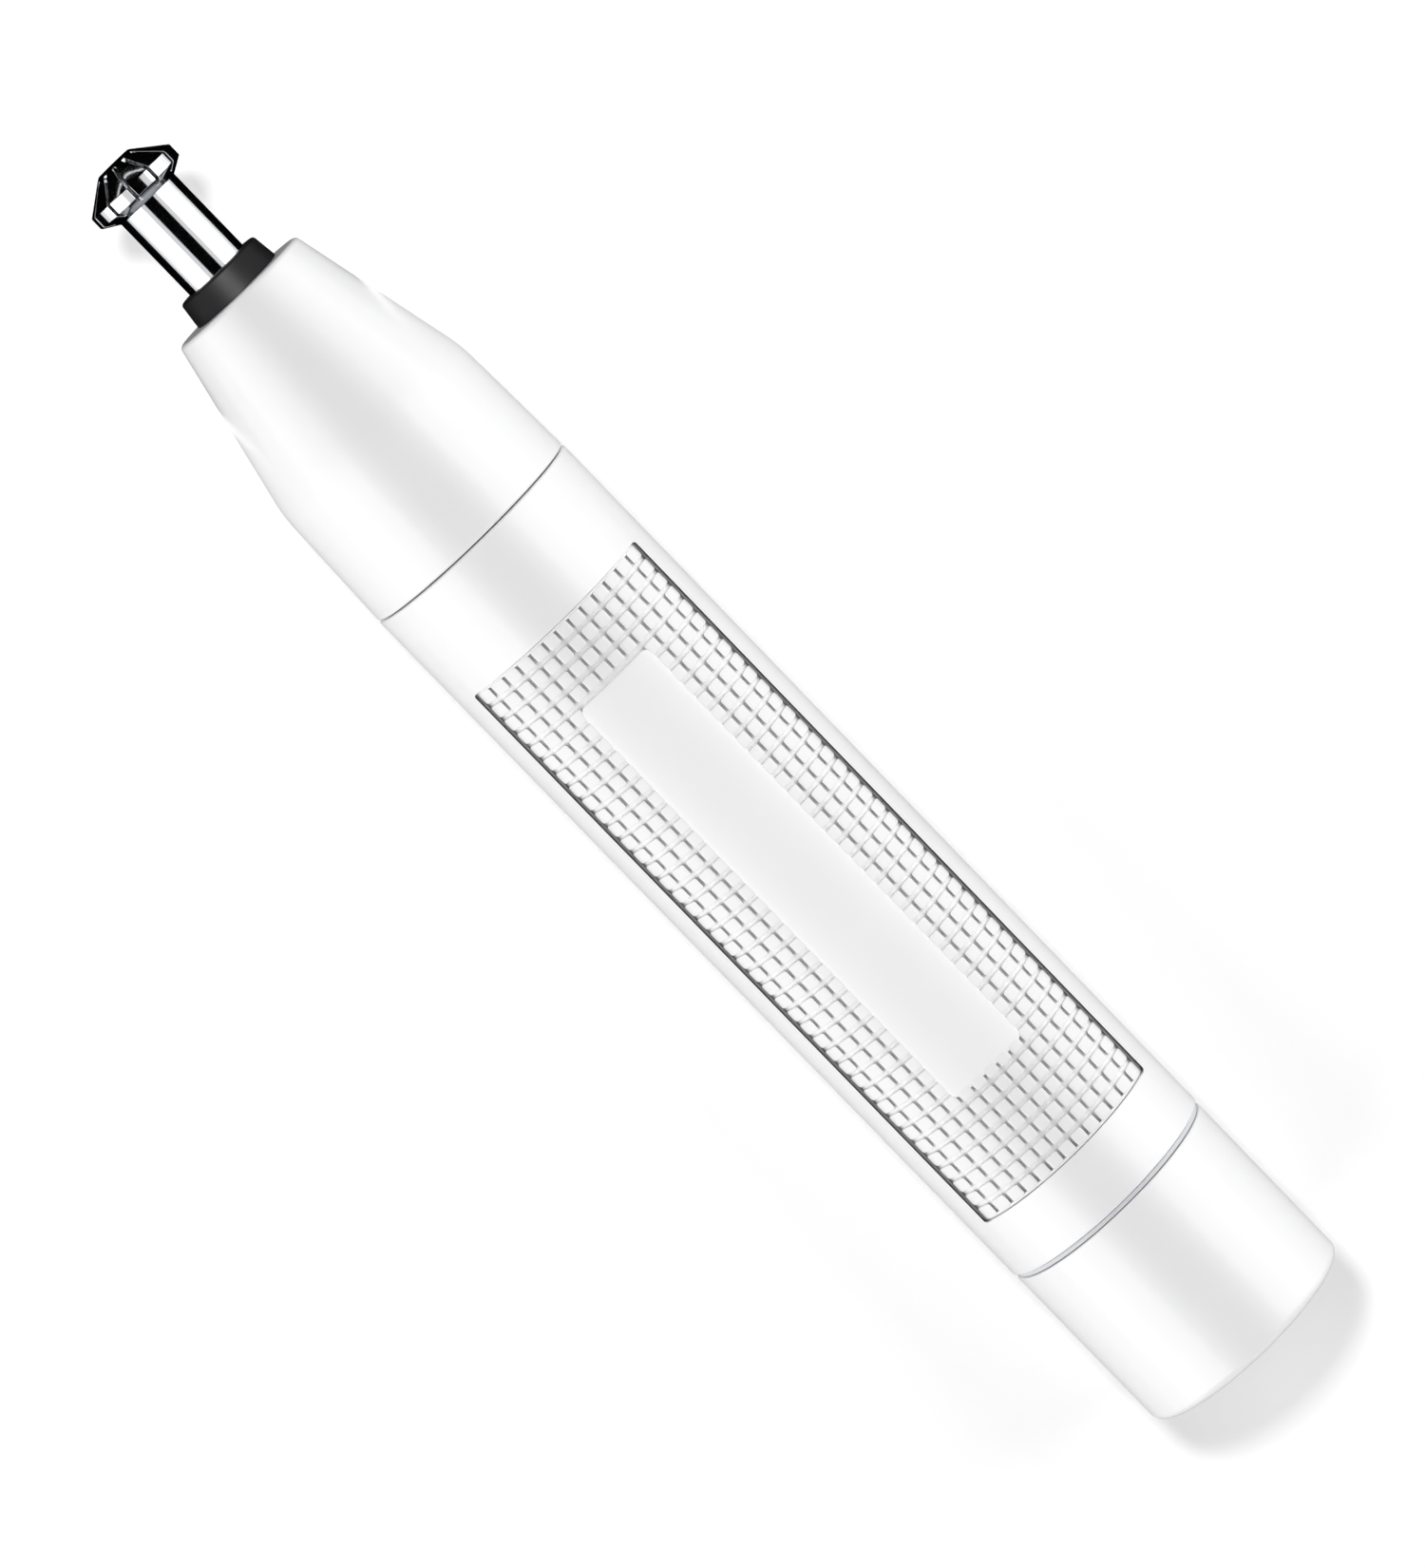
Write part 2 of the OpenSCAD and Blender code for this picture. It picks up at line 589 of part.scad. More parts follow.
module battery_base() color("#c8c8cc") rod(cell_r - 0.6, s_battery_end - 0.3 + press_gap, s_battery_end);

crown();
cutter_tube();
head_base();
head_seal();
front_bush();
rear_bush();
inner_blade();
spindle();
spindle_clip();
spindle_spring();
driven_dog();
release_ring();
drive_dog();
motor_shaft();
armature();
armature_coils();
commutator();
nose_cone();
barrel();
grip_panel();
label_plate();
motor_cradle();
motor_can();
motor_magnets();
motor_front_bush();
motor_rear_bush();
motor_end_cap();
motor_brushes();
motor_terminals();
red_lead();
black_lead();
contact_strip();
battery_tube();
positive_contact();
tail_seal();
switch_ring();
switch_contact();
tail_cap();
cap_contact();
spring_plate();
battery_spring();
battery_cell();
battery_nub();
battery_base();
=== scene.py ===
import math

import bmesh
import bpy
from mathutils import Matrix, Vector


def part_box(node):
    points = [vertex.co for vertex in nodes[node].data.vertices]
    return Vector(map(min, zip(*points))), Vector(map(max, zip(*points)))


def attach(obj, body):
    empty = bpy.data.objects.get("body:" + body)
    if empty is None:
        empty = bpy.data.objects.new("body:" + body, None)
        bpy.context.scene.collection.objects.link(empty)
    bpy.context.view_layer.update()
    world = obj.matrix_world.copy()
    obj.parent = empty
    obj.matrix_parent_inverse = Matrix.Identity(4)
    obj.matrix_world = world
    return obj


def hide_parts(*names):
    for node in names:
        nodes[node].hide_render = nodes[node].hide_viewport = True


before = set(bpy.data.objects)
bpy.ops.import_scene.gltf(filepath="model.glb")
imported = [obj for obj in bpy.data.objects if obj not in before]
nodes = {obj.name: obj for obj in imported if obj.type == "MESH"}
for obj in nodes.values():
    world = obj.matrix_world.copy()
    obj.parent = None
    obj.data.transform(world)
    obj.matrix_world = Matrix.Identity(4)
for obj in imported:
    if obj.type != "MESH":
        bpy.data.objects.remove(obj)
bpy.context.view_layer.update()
scene = bpy.context.scene
mm = 0.001

capLow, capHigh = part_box("tail_cap")
axisHeight = (capLow.z + capHigh.z) / 2  # every turned piece shares this axis, along X


def hexColour(code):  # sRGB hex to the linear colour that the shaders use
    channels = [int(code[i:i + 2], 16) / 255 for i in (1, 3, 5)]
    return [c / 12.92 if c <= 0.04045 else ((c + 0.055) / 1.055) ** 2.4 for c in channels] + [1]


def addNode(tree, kind, values=None, **settings):  # a value is a number, a colour or another node's socket
    node = tree.nodes.new(kind)
    for key, value in settings.items():
        setattr(node, key, value)
    for key, value in (values or {}).items():
        if isinstance(value, bpy.types.NodeSocket):
            tree.links.new(value, node.inputs[key])
        else:
            node.inputs[key].default_value = value
    return node


def blankMaterial(name):
    material = bpy.data.materials.new(name)
    material.use_nodes = True
    material.node_tree.nodes.clear()
    return material, material.node_tree


def startMaterial(name, values):
    material, tree = blankMaterial(name)
    shader = addNode(tree, "ShaderNodeBsdfPrincipled", values)
    addNode(tree, "ShaderNodeOutputMaterial", {"Surface": shader.outputs["BSDF"]})
    place = addNode(tree, "ShaderNodeTexCoord").outputs["Object"]
    return material, tree, shader, place


def perMetre(sizeMm):  # a texture scale from the real size of one feature
    return 1000 / sizeMm


noiseFrom, noiseTo = 0.3, 0.7  # most of a noise texture's values lie between these


def mouldedPlastic(name, look):
    # injection moulded: even colour, a faint flow cloud in tone and gloss, and the tool's fine texture
    material, tree, shader, place = startMaterial(name, {
        "IOR": look["ior"], "Specular IOR Level": look.get("specular", 0.5),
        "Coat Weight": look.get("coat", 0), "Coat Roughness": look.get("coatRough", 0.2),
        "Subsurface Weight": look.get("translucency", 0),
        "Subsurface Scale": look.get("translucencyMm", 1) * mm})
    cloud = addNode(tree, "ShaderNodeTexNoise",
                    {"Vector": place, "Scale": perMetre(look["cloudMm"]), "Detail": 2.0})
    tone = addNode(tree, "ShaderNodeMix", {0: cloud.outputs["Fac"], 6: hexColour(look["deep"]),
                                           7: hexColour(look["pale"])}, data_type="RGBA")
    gloss = addNode(tree, "ShaderNodeMapRange", {"Value": cloud.outputs["Fac"], "To Min": look["rough"][0],
                                                 "To Max": look["rough"][1]})
    grain = addNode(tree, "ShaderNodeTexNoise",
                    {"Vector": place, "Scale": perMetre(look["grainMm"]), "Detail": 3.0})
    bump = addNode(tree, "ShaderNodeBump", {"Height": grain.outputs["Fac"], "Strength": look["grainStrength"],
                                            "Distance": look["grainDepthMm"] * mm})
    tree.links.new(tone.outputs[2], shader.inputs["Base Color"])
    tree.links.new(gloss.outputs["Result"], shader.inputs["Roughness"])
    tree.links.new(bump.outputs["Normal"], shader.inputs["Normal"])
    return material


def workedMetal(name, look):
    # lines left by turning run round the axis and change along X; lines left by drawing run along X
    material, tree, shader, place = startMaterial(name, {
        "Metallic": 1.0, "Specular Tint": hexColour(look.get("edgeTint", "#ffffff"))})
    along, across = look["lineMm"]
    stretch = addNode(tree, "ShaderNodeMapping", {
        "Vector": place, "Scale": (perMetre(along), perMetre(across), perMetre(across))})
    lines = addNode(tree, "ShaderNodeTexNoise",
                    {"Vector": stretch.outputs["Vector"], "Scale": 1.0, "Detail": 2.0})
    cloud = addNode(tree, "ShaderNodeTexNoise",
                    {"Vector": place, "Scale": perMetre(look["cloudMm"]), "Detail": 3.0})
    tone = addNode(tree, "ShaderNodeMix", {0: cloud.outputs["Fac"], 6: hexColour(look["deep"]),
                                           7: hexColour(look["pale"])}, data_type="RGBA")
    gloss = addNode(tree, "ShaderNodeMapRange", {
        "Value": lines.outputs["Fac"], "From Min": noiseFrom, "From Max": noiseTo,
        "To Min": look["rough"][0], "To Max": look["rough"][1]})
    bump = addNode(tree, "ShaderNodeBump", {"Height": lines.outputs["Fac"], "Strength": look["lineStrength"],
                                            "Distance": look["lineDepthMm"] * mm})
    tree.links.new(tone.outputs[2], shader.inputs["Base Color"])
    tree.links.new(gloss.outputs["Result"], shader.inputs["Roughness"])
    tree.links.new(bump.outputs["Normal"], shader.inputs["Normal"])
    return material


plastics = {
    # polished white ABS: opaque, wet-looking gloss over a faint moulding ripple
    "glossWhiteAbs": {"deep": "#f1f1f2", "pale": "#f6f6f6", "ior": 1.54, "rough": (0.2, 0.26), "cloudMm": 14,
                      "grainMm": 2.4, "grainDepthMm": 0.004, "grainStrength": 0.35, "coat": 0.6,
                      "coatRough": 0.42},
    # spark-eroded white ABS of the grip: dull, so that the pads read by their shade
    "matteGripAbs": {"deep": "#efefef", "pale": "#f5f5f5", "ior": 1.54, "rough": (0.42, 0.52), "cloudMm": 6,
                     "grainMm": 0.12, "grainDepthMm": 0.004, "grainStrength": 0.25},
    # the label plate's satin ABS, smoother than the grip
    "satinLabelAbs": {"deep": "#f8f8f8", "pale": "#fcfcfc", "ior": 1.54, "rough": (0.46, 0.54), "cloudMm": 9,
                      "grainMm": 0.2, "grainDepthMm": 0.004, "grainStrength": 0.3},
    # light grey acetal rings, waxy where they rub
    "greyRingAcetal": {"deep": "#cfd1d4", "pale": "#dbdde0", "ior": 1.48, "rough": (0.32, 0.42), "cloudMm": 3,
                       "grainMm": 0.15, "grainDepthMm": 0.006, "grainStrength": 0.35},
    # glass-filled black nylon of the head: deep black with a soft satin sheen
    "satinBlackNylon": {"deep": "#08080a", "pale": "#0e0e10", "ior": 1.53, "rough": (0.48, 0.54),
                        "cloudMm": 2.5, "grainMm": 0.09, "grainDepthMm": 0.006, "grainStrength": 0.3,
                        "specular": 0.2},
    # nitrile rubber seals: dull and slightly bloomed
    "nitrileRubber": {"deep": "#1d1d1f", "pale": "#2a2a2d", "ior": 1.52, "rough": (0.55, 0.7), "cloudMm": 1.2,
                      "grainMm": 0.06, "grainDepthMm": 0.006, "grainStrength": 0.4},
    # natural nylon: milky, lets a little light in
    "naturalNylon": {"deep": "#e6e3da", "pale": "#efece4", "ior": 1.53, "rough": (0.38, 0.5), "cloudMm": 3,
                     "grainMm": 0.12, "grainDepthMm": 0.006, "grainStrength": 0.35, "translucency": 0.25,
                     "translucencyMm": 0.6},
    # unpolished grey ABS of the inner chassis, with the cutter marks of its tool
    "greyChassisAbs": {"deep": "#b4b8bd", "pale": "#c2c6ca", "ior": 1.54, "rough": (0.4, 0.55), "cloudMm": 8,
                       "grainMm": 0.25, "grainDepthMm": 0.012, "grainStrength": 0.45},
    # PVC insulation of the two leads: soft gloss
    "redPvc": {"deep": "#9c1a1c", "pale": "#b02225", "ior": 1.53, "rough": (0.3, 0.42), "cloudMm": 1.5,
               "grainMm": 0.2, "grainDepthMm": 0.006, "grainStrength": 0.35},
    "blackPvc": {"deep": "#161617", "pale": "#222224", "ior": 1.53, "rough": (0.3, 0.42), "cloudMm": 1.5,
                 "grainMm": 0.2, "grainDepthMm": 0.006, "grainStrength": 0.35},
    # sintered ferrite magnets: dark, chalky and pitted
    "sinteredFerrite": {"deep": "#2b2c2f", "pale": "#3b3c40", "ior": 1.6, "rough": (0.55, 0.75),
                        "cloudMm": 1.5, "grainMm": 0.1, "grainDepthMm": 0.02, "grainStrength": 0.6},
}

metals = {
    # polished stainless tube and crown: near-mirror, with hairlines that run round it
    "polishedStainless": {"deep": "#c9cbce", "pale": "#d6d8da", "rough": (0.06, 0.11), "lineMm": (0.05, 4),
                          "cloudMm": 3, "lineDepthMm": 0.0006, "lineStrength": 0.25, "edgeTint": "#8f9296"},
    # ground tool steel of the blade and spindles: fine grinding lines, a little duller
    "groundToolSteel": {"deep": "#b4b6ba", "pale": "#c4c6ca", "rough": (0.2, 0.32), "lineMm": (0.06, 3),
                        "cloudMm": 2, "lineDepthMm": 0.0015, "lineStrength": 0.4},
    # hard drawn spring wire: grey with long drawing lines
    "springSteel": {"deep": "#a3a6ab", "pale": "#b7babe", "rough": (0.22, 0.34), "lineMm": (0.8, 0.06),
                    "cloudMm": 1.5, "lineDepthMm": 0.001, "lineStrength": 0.35},
    # oil-filled sintered bronze: warm, dull and finely pored
    "sinteredBronze": {"deep": "#9a7442", "pale": "#b58d57", "rough": (0.42, 0.58), "lineMm": (0.08, 0.08),
                       "cloudMm": 0.8, "lineDepthMm": 0.006, "lineStrength": 0.5},
    # nickel plated deep-drawn can: soft shine, stretch lines along it
    "nickelPlatedSteel": {"deep": "#b3b4b4", "pale": "#c8c9c8", "rough": (0.18, 0.3), "lineMm": (3, 0.1),
                          "cloudMm": 5, "lineDepthMm": 0.001, "lineStrength": 0.3},
    # stack of punched laminations: real ones are finer, drawn as coarse as they need to show
    "laminatedSteel": {"deep": "#5b5e63", "pale": "#777a80", "rough": (0.35, 0.6), "lineMm": (0.3, 30),
                       "cloudMm": 2, "lineDepthMm": 0.02, "lineStrength": 0.7},
    # enamelled copper winding: amber gloss, with each turn of wire showing
    "enamelledCopper": {"deep": "#8a3f1c", "pale": "#b35a2a", "rough": (0.18, 0.34), "lineMm": (8, 0.22),
                        "cloudMm": 2, "lineDepthMm": 0.05, "lineStrength": 0.8},
    # bare hard copper of the commutator, bright where the brushes ride
    "commutatorCopper": {"deep": "#a8623c", "pale": "#c67c50", "rough": (0.2, 0.36), "lineMm": (0.06, 6),
                         "cloudMm": 1.5, "lineDepthMm": 0.002, "lineStrength": 0.4},
    # pressed spring brass of the contacts: yellow, with rolling lines along it
    "pressedBrass": {"deep": "#b78d42", "pale": "#cfa75a", "rough": (0.22, 0.36), "lineMm": (2.5, 0.08),
                     "cloudMm": 3, "lineDepthMm": 0.001, "lineStrength": 0.3},
}

finishes = {name: mouldedPlastic(name, look) for name, look in plastics.items()}
finishes.update({name: workedMetal(name, look) for name, look in metals.items()})


def batteryFilm():
    # shrink-wrapped film: glossy, with one copper-toned end band and a dark body, all round the cell
    look = {"bandFrom": 0.72, "body": "#1c2024", "band": "#b87a3c", "edgeMm": 0.05, "ior": 1.55,
            "rough": 0.24, "coat": 0.3, "rippleMm": 3, "rippleDepthMm": 0.02, "rippleStrength": 0.3}
    material, tree, shader, place = startMaterial("shrunkBatteryFilm", {
        "IOR": look["ior"], "Roughness": look["rough"], "Coat Weight": look["coat"]})
    low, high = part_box("battery_cell")
    x = addNode(tree, "ShaderNodeSeparateXYZ", {"Vector": place}).outputs["X"]
    change = low.x + (high.x - low.x) * (1 - look["bandFrom"])
    share = addNode(tree, "ShaderNodeMapRange", {"Value": x, "From Min": change - look["edgeMm"] * mm,
                                                 "From Max": change + look["edgeMm"] * mm})
    tone = addNode(tree, "ShaderNodeMix", {0: share.outputs["Result"], 6: hexColour(look["band"]),
                                           7: hexColour(look["body"])}, data_type="RGBA")
    ripple = addNode(tree, "ShaderNodeTexNoise",
                     {"Vector": place, "Scale": perMetre(look["rippleMm"]), "Detail": 1.0})
    bump = addNode(tree, "ShaderNodeBump", {
        "Height": ripple.outputs["Fac"], "Strength": look["rippleStrength"],
        "Distance": look["rippleDepthMm"] * mm})
    tree.links.new(tone.outputs[2], shader.inputs["Base Color"])
    tree.links.new(bump.outputs["Normal"], shader.inputs["Normal"])
    return material


finishes["shrunkBatteryFilm"] = batteryFilm()
print("finishes made:", len(finishes))


def makePiece(name, points, faces, finish, smoothAngle=None):  # a closed mesh whose faces point outwards
    mesh = bpy.data.meshes.new(name)
    mesh.from_pydata(points, [], faces)
    work = bmesh.new()
    work.from_mesh(mesh)
    bmesh.ops.remove_doubles(work, verts=work.verts, dist=0.0005 * mm)
    bmesh.ops.recalc_face_normals(work, faces=work.faces)
    work.to_mesh(mesh)
    work.free()
    mesh.materials.append(finishes[finish])
    if smoothAngle is not None:
        mesh.shade_smooth()
        mesh.set_sharp_from_angle(angle=math.radians(smoothAngle))
    piece = bpy.data.objects.new(name, mesh)
    scene.collection.objects.link(piece)
    return piece


def finishPiece(piece, body, slotName, *replaced):
    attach(piece, body)
    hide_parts(*replaced)


def addBevel(piece, widthMm, segments, angle):
    bevel = piece.modifiers.new("softEdges", "BEVEL")
    bevel.width = widthMm * mm
    bevel.segments = segments
    bevel.limit_method = "ANGLE"
    bevel.angle_limit = math.radians(angle)


def slabRing(fromX, toX, halfWidth, corner, samples, cornerSteps):
    # one closed outline in plan; point i and point -1 - i share a y, so that caps are rungs along X
    arc = [math.radians(90 * k / cornerSteps) for k in range(cornerSteps + 1)]
    side = [halfWidth - corner + corner * math.sin(a) for a in reversed(arc)]
    inset = [corner - corner * math.cos(a) for a in reversed(arc)]
    middle = [(halfWidth - corner) * (1 - 2 * k / samples) for k in range(1, samples)]
    ys = side + middle + [-y for y in reversed(side)]
    insets = inset + [0] * len(middle) + inset[::-1]
    front = [(fromX + d, y) for y, d in zip(ys, insets)]
    rear = [(toX - d, y) for y, d in zip(reversed(ys), reversed(insets))]
    return front + rear


def slab(rings, samples, cornerSteps=4):
    # closed solid from plan outlines stacked upwards: each ring is (fromX, toX, halfWidth, corner, height)
    points, faces = [], []
    for fromX, toX, halfWidth, corner, height in rings:
        points += [(x * mm, y * mm, height * mm)
                   for x, y in slabRing(fromX, toX, halfWidth, corner, samples, cornerSteps)]
    count = len(points) // len(rings)
    for level in range(len(rings) - 1):
        base = level * count
        faces += [(base + i, base + (i + 1) % count, base + count + (i + 1) % count, base + count + i)
                  for i in range(count)]
    for base in (0, (len(rings) - 1) * count):
        faces += [(base + i, base + i + 1, base + count - 2 - i, base + count - 1 - i)
                  for i in range(count // 2 - 1)]
    return points, faces


def wrap(points, radiusMm):  # lays a flat slab on the round barrel, drawn straight down
    return [(x, y, z + axisHeight + math.sqrt((radiusMm * mm) ** 2 - y * y)) for x, y, z in points]


# the grip is a base plate set into the barrel, with rows of small pads round the label plate
panelLow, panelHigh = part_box("grip_panel")
labelLow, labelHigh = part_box("label_plate")

grip = {
    "columns": 40, "rows": 13,
    "pitchAlongMm": 1.528, "pitchAcrossMm": 1.405,
    "padLengthMm": 1.16, "padWidthMm": 1.15, "padCornerMm": 0.2,
    "padHeightMm": 0.6, "padEdgeMm": 0.09, "padSinkMm": 0.12,
    "padCrownMm": 0.015, "crownInsetMm": 0.29, "crownCornerMm": 0.06,
    "outerRowWidth": 0.87, "outerRowShiftMm": 0.1,  # the outermost rows are a little narrower
    "baseRadiusMm": 9.83, "footDepthMm": 0.88,  # the foot lies this far under the barrel's skin
    "rimMm": 0.24, "rimHeightMm": 0.5, "rimDraftMm": 0.01, "edgeMm": 0.05,
    "cornerMm": 0.3, "edgeCornerMm": 0.27, "innerCornerMm": 0.22,
    "hiddenRows": 5, "labelOverlapMm": 0.3,  # no pad grows under the label plate
}


def padShape():
    half = grip["padLengthMm"] / 2
    wide = grip["padWidthMm"] / 2
    edge = grip["padEdgeMm"]
    top = grip["padHeightMm"]
    corner = grip["padCornerMm"]
    rings = [(-half, half, wide, corner, -grip["padSinkMm"]), (-half, half, wide, corner, top - edge)]
    for turn in (45, 90):
        inset = edge * (1 - math.cos(math.radians(turn)))
        rings.append((inset - half, half - inset, wide - inset, corner - inset,
                      top - edge + edge * math.sin(math.radians(turn))))
    inset = grip["crownInsetMm"]
    rings.append((inset - half, half - inset, wide - inset, grip["crownCornerMm"], top + grip["padCrownMm"]))
    points, faces = slab(rings, samples=2, cornerSteps=2)
    return makePiece("padShape", points, faces, "matteGripAbs", smoothAngle=40)


def padTree():
    tree = bpy.data.node_groups.new("gripPads", "GeometryNodeTree")
    for name, kind in (("Geometry", "NodeSocketGeometry"), ("Pad", "NodeSocketObject"),
                       ("Columns", "NodeSocketInt"), ("Rows", "NodeSocketInt"),
                       ("Pitch Along", "NodeSocketFloat"), ("Pitch Across", "NodeSocketFloat"),
                       ("Centre", "NodeSocketFloat"), ("Axis Height", "NodeSocketFloat"),
                       ("Base Radius", "NodeSocketFloat"), ("Label From", "NodeSocketFloat"),
                       ("Label To", "NodeSocketFloat"), ("Label Half Width", "NodeSocketFloat"),
                       ("Outer Row", "NodeSocketFloat"), ("Outer Row Width", "NodeSocketFloat"),
                       ("Outer Row Shift", "NodeSocketFloat"), ("Finish", "NodeSocketMaterial")):
        tree.interface.new_socket(name, in_out="INPUT", socket_type=kind)
    tree.interface.new_socket("Geometry", in_out="OUTPUT", socket_type="NodeSocketGeometry")
    given = addNode(tree, "NodeGroupInput").outputs

    def maths(operation, a, b):
        return addNode(tree, "ShaderNodeMath", {0: a, 1: b}, operation=operation).outputs[0]

    sizeX = maths("MULTIPLY", maths("SUBTRACT", given["Columns"], 1.0), given["Pitch Along"])
    sizeY = maths("MULTIPLY", maths("SUBTRACT", given["Rows"], 1.0), given["Pitch Across"])
    grid = addNode(tree, "GeometryNodeMeshGrid", {"Size X": sizeX, "Size Y": sizeY,
                                                  "Vertices X": given["Columns"],
                                                  "Vertices Y": given["Rows"]})
    centre = addNode(tree, "ShaderNodeCombineXYZ", {"X": given["Centre"]})
    moved = addNode(tree, "GeometryNodeSetPosition", {"Geometry": grid.outputs["Mesh"],
                                                      "Offset": centre.outputs["Vector"]})
    here = addNode(tree, "ShaderNodeSeparateXYZ",
                   {"Vector": addNode(tree, "GeometryNodeInputPosition").outputs["Position"]}).outputs
    under = maths("LESS_THAN", maths("ABSOLUTE", here["Y"], 0.0), given["Label Half Width"])
    under = maths("MULTIPLY", under, maths("GREATER_THAN", here["X"], given["Label From"]))
    under = maths("MULTIPLY", under, maths("LESS_THAN", here["X"], given["Label To"]))
    kept = addNode(tree, "GeometryNodeDeleteGeometry", {"Geometry": moved.outputs["Geometry"],
                                                        "Selection": under}, domain="POINT")
    outer = maths("GREATER_THAN", maths("ABSOLUTE", here["Y"], 0.0), given["Outer Row"])
    inward = maths("MULTIPLY", maths("SIGN", here["Y"], 0.0),
                   maths("MULTIPLY", outer, given["Outer Row Shift"]))
    shift = addNode(tree, "ShaderNodeCombineXYZ", {"Y": maths("MULTIPLY", inward, -1.0)})
    drawn = addNode(tree, "GeometryNodeSetPosition", {"Geometry": kept.outputs["Geometry"],
                                                      "Offset": shift.outputs["Vector"]})
    narrow = maths("SUBTRACT", 1.0,
                   maths("MULTIPLY", outer, maths("SUBTRACT", 1.0, given["Outer Row Width"])))
    size = addNode(tree, "ShaderNodeCombineXYZ", {"X": 1.0, "Y": narrow, "Z": 1.0})
    pad = addNode(tree, "GeometryNodeObjectInfo", {"Object": given["Pad"]})
    placed = addNode(tree, "GeometryNodeInstanceOnPoints", {"Points": drawn.outputs["Geometry"],
                                                            "Instance": pad.outputs["Geometry"],
                                                            "Scale": size.outputs["Vector"]})
    solid = addNode(tree, "GeometryNodeRealizeInstances", {"Geometry": placed.outputs["Instances"]})
    # each pad is lifted straight up onto the round base, so that its walls stay upright
    radius = given["Base Radius"]
    rise = maths("SQRT", maths("SUBTRACT", maths("MULTIPLY", radius, radius),
                               maths("MULTIPLY", here["Y"], here["Y"])), 0.0)
    lift = addNode(tree, "ShaderNodeCombineXYZ", {"Z": maths("ADD", rise, given["Axis Height"])})
    bent = addNode(tree, "GeometryNodeSetPosition", {"Geometry": solid.outputs["Geometry"],
                                                     "Offset": lift.outputs["Vector"]})
    whole = addNode(tree, "GeometryNodeJoinGeometry", {"Geometry": bent.outputs["Geometry"]})
    tree.links.new(given["Geometry"], whole.inputs["Geometry"])
    real = addNode(tree, "GeometryNodeRealizeInstances", {"Geometry": whole.outputs["Geometry"]})
    painted = addNode(tree, "GeometryNodeSetMaterial", {"Geometry": real.outputs["Geometry"],
                                                        "Material": given["Finish"]})
    addNode(tree, "NodeGroupOutput", {"Geometry": painted.outputs["Geometry"]})
    return tree


def growPads(piece):
    tree = padTree()
    growth = piece.modifiers.new("gripPads", "NODES")
    growth.node_group = tree
    sockets = {item.name: item.identifier for item in tree.interface.items_tree if item.in_out == "INPUT"}
    pad = padShape()
    overlap = grip["labelOverlapMm"] * mm
    rowEdge = (grip["hiddenRows"] / 2) * grip["pitchAcrossMm"] * mm
    values = {"Pad": pad, "Columns": grip["columns"], "Rows": grip["rows"],
              "Pitch Along": grip["pitchAlongMm"] * mm, "Pitch Across": grip["pitchAcrossMm"] * mm,
              "Centre": (panelLow.x + panelHigh.x) / 2, "Axis Height": axisHeight,
              "Base Radius": grip["baseRadiusMm"] * mm,
              "Label From": labelLow.x + overlap, "Label To": labelHigh.x - overlap,
              "Label Half Width": rowEdge,
              "Outer Row": (grip["rows"] / 2 - 1) * grip["pitchAcrossMm"] * mm,
              "Outer Row Width": grip["outerRowWidth"], "Outer Row Shift": grip["outerRowShiftMm"] * mm,
              "Finish": finishes["matteGripAbs"]}
    for name, value in values.items():
        growth[sockets[name]] = value
    bpy.context.view_layer.update()
    seen = piece.evaluated_get(bpy.context.evaluated_depsgraph_get())
    made = bpy.data.meshes.new_from_object(seen)
    piece.modifiers.remove(growth)
    piece.data = made
    bpy.data.objects.remove(pad)


def gripBase():
    fromX, toX, halfWidth = panelLow.x / mm, panelHigh.x / mm, panelHigh.y / mm
    foot = (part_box("barrel")[1].z - axisHeight) / mm - grip["footDepthMm"] - grip["baseRadiusMm"]
    rim, draft = grip["rimHeightMm"], grip["rimDraftMm"]
    steps = [(0, grip["cornerMm"], foot),
             (0, grip["cornerMm"], rim - grip["edgeMm"]),
             (grip["edgeMm"], grip["edgeCornerMm"], rim),
             (grip["rimMm"], grip["innerCornerMm"], rim),
             (grip["rimMm"] + draft, grip["innerCornerMm"] - draft, 0)]
    rings = [(fromX + inset, toX - inset, halfWidth - inset, corner, height)
             for inset, corner, height in steps]
    points, faces = slab(rings, samples=60)
    points = wrap(points, grip["baseRadiusMm"])
    return makePiece("gripPanel", points, faces, "matteGripAbs", smoothAngle=35)


gripPanel = gripBase()
growPads(gripPanel)
finishPiece(gripPanel, "handle", "grip_plastic", "grip_panel")
print("grip panel:", len(gripPanel.data.polygons), "faces")

# the label plate is a thin slab with a small bevel in front and a long one at the rear
labelPlateLook = {
    "radiusMm": 10.1, "edgeMm": 0.1, "frontBevelMm": 0.16, "rearBevelMm": 0.47, "cornerMm": 0.7,
    "shoulderMm": 0.12, "roundInset": 0.4, "roundDrop": 0.35,  # the last two are shares of a bevel
}


def labelShape():
    fromX, toX, halfWidth = labelLow.x / mm, labelHigh.x / mm, labelHigh.y / mm
    look = labelPlateLook
    top = (labelHigh.z - axisHeight) / mm - look["radiusMm"]
    foot = grip["baseRadiusMm"] - look["radiusMm"]
    edge, corner = look["edgeMm"], look["cornerMm"]
    front, rear = look["frontBevelMm"], look["rearBevelMm"]
    inset = look["roundInset"]
    rings = [(fromX, toX, halfWidth, corner, foot),
             (fromX, toX, halfWidth, corner, top - look["shoulderMm"]),
             (fromX + front * inset, toX - edge, halfWidth - edge * inset, corner - edge * inset,
              top - edge * look["roundDrop"]),
             (fromX + front, toX - rear, halfWidth - edge, corner - edge, top)]
    points, faces = slab(rings, samples=40)
    points = wrap(points, look["radiusMm"])
    return makePiece("labelPlate", points, faces, "satinLabelAbs", smoothAngle=35)


labelPlate = labelShape()
finishPiece(labelPlate, "handle", "label_plastic", "label_plate")
print("label plate made")

